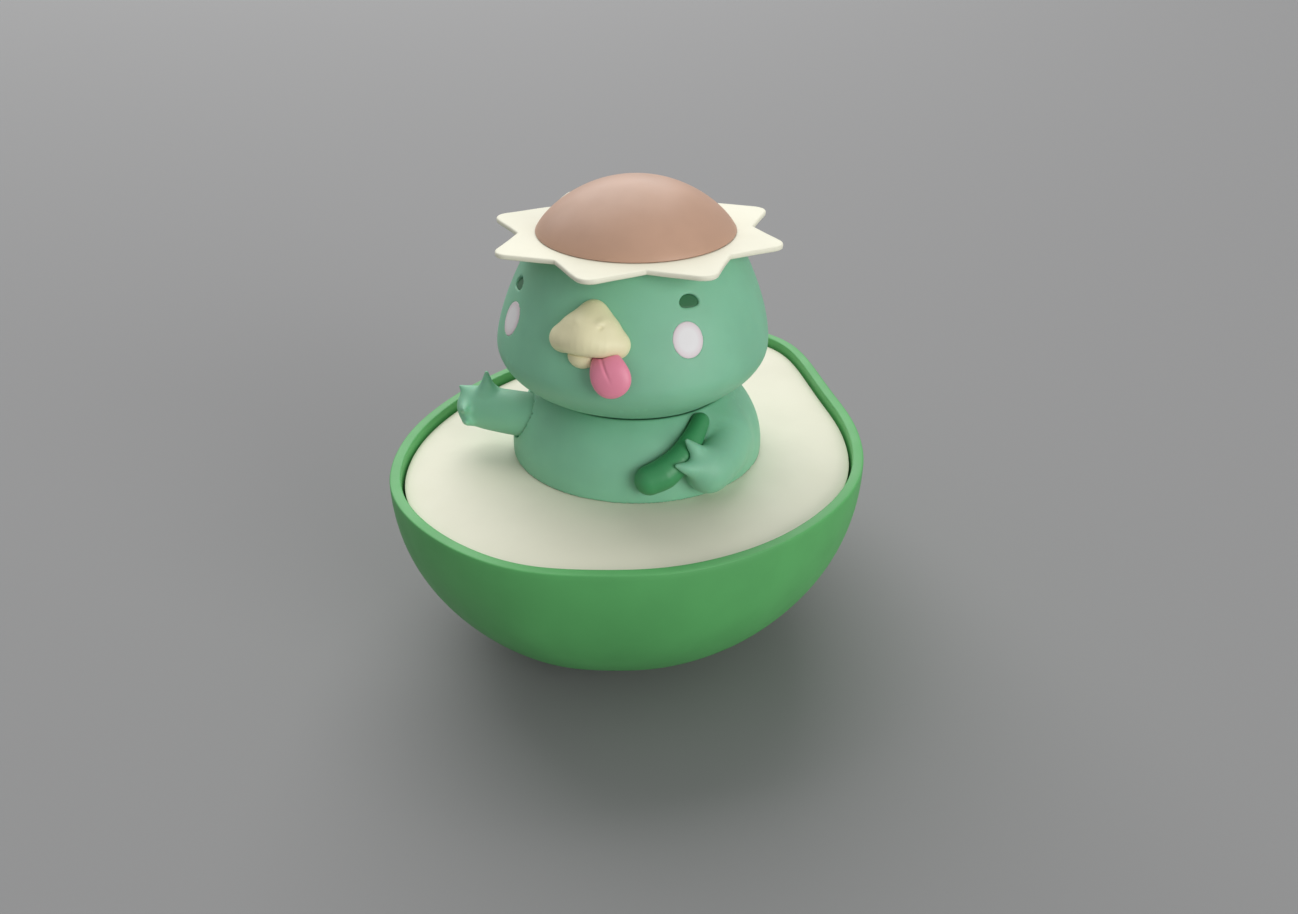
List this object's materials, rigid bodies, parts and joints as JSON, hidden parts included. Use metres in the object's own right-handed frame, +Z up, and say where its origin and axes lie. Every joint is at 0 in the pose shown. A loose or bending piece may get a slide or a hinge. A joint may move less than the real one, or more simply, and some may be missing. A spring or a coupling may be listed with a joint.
{
  "type": "roly-poly desk toy",
  "caption": "Self-righting desk toy: a weighted half-avocado bowl with a duck-billed figure standing in it under a star-shaped hat, holding a cucumber.",
  "frame": {"origin": "middle of the small flat foot under the bowl, on the vertical axis that the figure's head turns about", "axes": "+Z up; the figure faces -Y with its own left hand at +X; the avocado's stem end points to +Y"},
  "size_m": [0.0849, 0.1075, 0.0879],
  "materials": {
    "skin": "moulded, dyed avocado green, fine satin texture",
    "flesh": "moulded, pale cream, satin",
    "figure": "soft matte vinyl, sea green",
    "hat": "moulded, ivory, matte",
    "pit": "satin, brown-pink",
    "bill": "soft vinyl, pale straw, satin",
    "tongue": "soft vinyl, pink, slight sheen",
    "eye": "dark green inlay, slight sheen",
    "cheek": "off-white inlay with a faint pink edge",
    "cucumber": "soft vinyl, deep green, satin",
    "iron": "as cast, dark grey",
    "steel": "zinc-plated screws and washer"
  },
  "bodies": {
    "base": {"skin_shell": "skin", "flesh_cover": "flesh", "body_shell": "figure", "cucumber": "cucumber", "counterweight": "iron", "weight_screw_1": "steel", "weight_screw_2": "steel", "weight_screw_3": "steel", "cover_screw_1": "steel", "cover_screw_2": "steel", "cover_screw_3": "steel", "body_screw_1": "steel", "body_screw_2": "steel", "body_screw_3": "steel"},
    "head": {"head_shell": "figure", "hat_ring": "hat", "pit_dome": "pit", "bill_upper": "bill", "bill_lower": "bill", "tongue": "tongue", "eye_left": "eye", "eye_right": "eye", "cheek_left": "cheek", "cheek_right": "cheek", "neck_screw": "steel", "neck_washer": "steel"},
    "arm": {"right_arm": "figure", "arm_peg": "figure"}
  },
  "joints": [
    {"name": "head_turn", "type": "hinge", "parent": "base", "child": "head", "pos_m": [0, 0, 0.048], "axis": [0, 0, 1], "continuous": true},
    {"name": "arm_turn", "type": "hinge", "parent": "base", "child": "arm", "pos_m": [-0.0139, -0.01, 0.045], "axis": [-1, 0, 0], "continuous": true}
  ]
}
